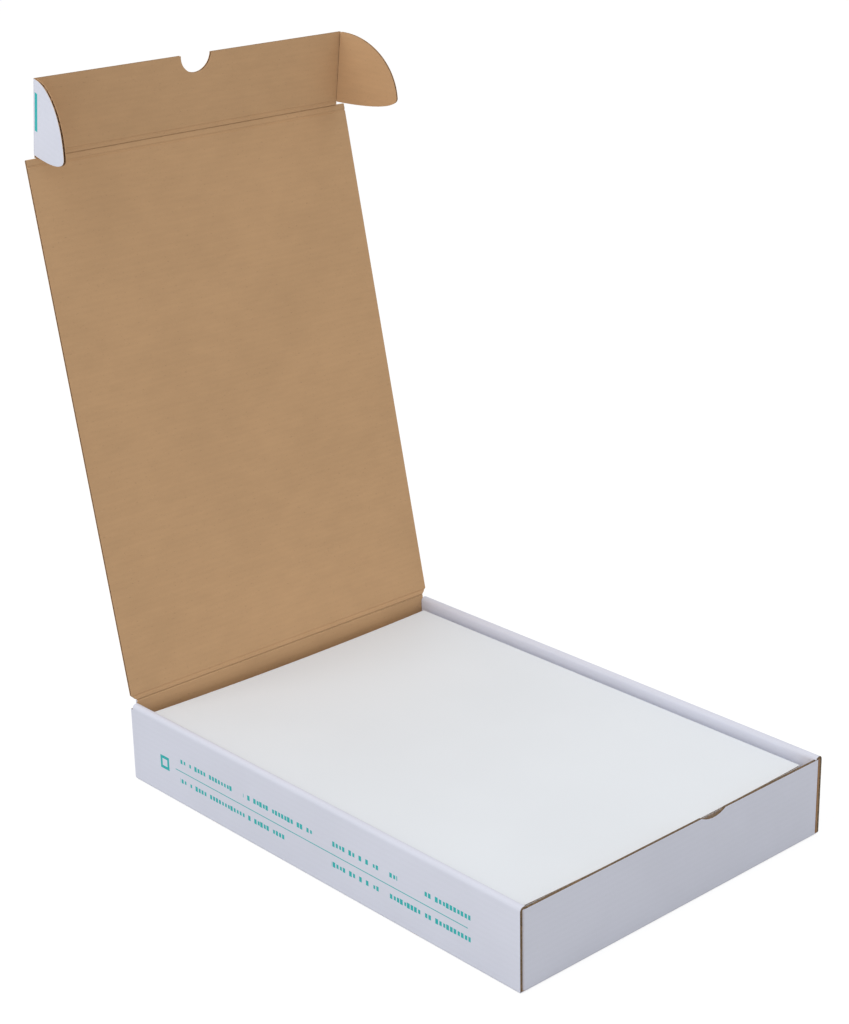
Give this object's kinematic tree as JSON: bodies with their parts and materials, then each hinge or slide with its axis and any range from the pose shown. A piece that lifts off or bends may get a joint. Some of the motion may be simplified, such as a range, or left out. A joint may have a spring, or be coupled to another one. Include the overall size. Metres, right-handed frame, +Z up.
{
  "type": "ream of paper in an open carton",
  "caption": "Stack of A4 sheets in an open corrugated carton with rolled side walls, a hinged lid, a tuck flap and two ears.",
  "frame": {"origin": "middle of the carton's underside, on the surface it stands on", "axes": "+Z up, +X across the width to the right seen from the front, +Y from the front wall to the rear wall that carries the lid"},
  "size_m": [0.236, 0.3772, 0.3922],
  "materials": {
    "white_board": "matte, white outer liner with faint bluish cast",
    "kraft_board": "matte brown kraft inner liner, white outside",
    "white_paper": "smooth uncoated white"
  },
  "bodies": {
    "tray_body": {"tray": "white_board", "paper_stack": "white_paper"},
    "lid": {"lid_panel": "kraft_board"},
    "flap": {"tuck_flap": "kraft_board"},
    "ear_left": {"left_ear": "kraft_board"},
    "ear_right": {"right_ear": "kraft_board"}
  },
  "joints": [
    {"name": "lid_hinge", "type": "hinge", "parent": "tray_body", "child": "lid", "pos_m": [0, 0.15525, 0.04835], "axis": [-1, 0, 0], "range_deg": [-102.3, 77.7]},
    {"name": "flap_crease", "type": "hinge", "parent": "lid", "child": "flap", "pos_m": [0, 0.22048, 0.34752], "axis": [1, 0, 0], "range_deg": [-59.29, 78.05]},
    {"name": "left_ear_crease", "type": "hinge", "parent": "flap", "child": "ear_left", "pos_m": [-0.10635, 0.22048, 0.34752], "axis": [0, -0.134, 0.991], "range_deg": [-9.32, 12.25]},
    {"name": "right_ear_crease", "type": "hinge", "parent": "flap", "child": "ear_right", "pos_m": [0.10635, 0.22048, 0.34752], "axis": [0, 0.134, -0.991], "range_deg": [-13.87, 18.25]}
  ],
  "couplings": [
    {"joint": "flap_crease", "follows": "lid_hinge", "ratio": -0.76246},
    {"joint": "left_ear_crease", "follows": "lid_hinge", "ratio": -0.11926},
    {"joint": "right_ear_crease", "follows": "lid_hinge", "ratio": -0.17791}
  ]
}
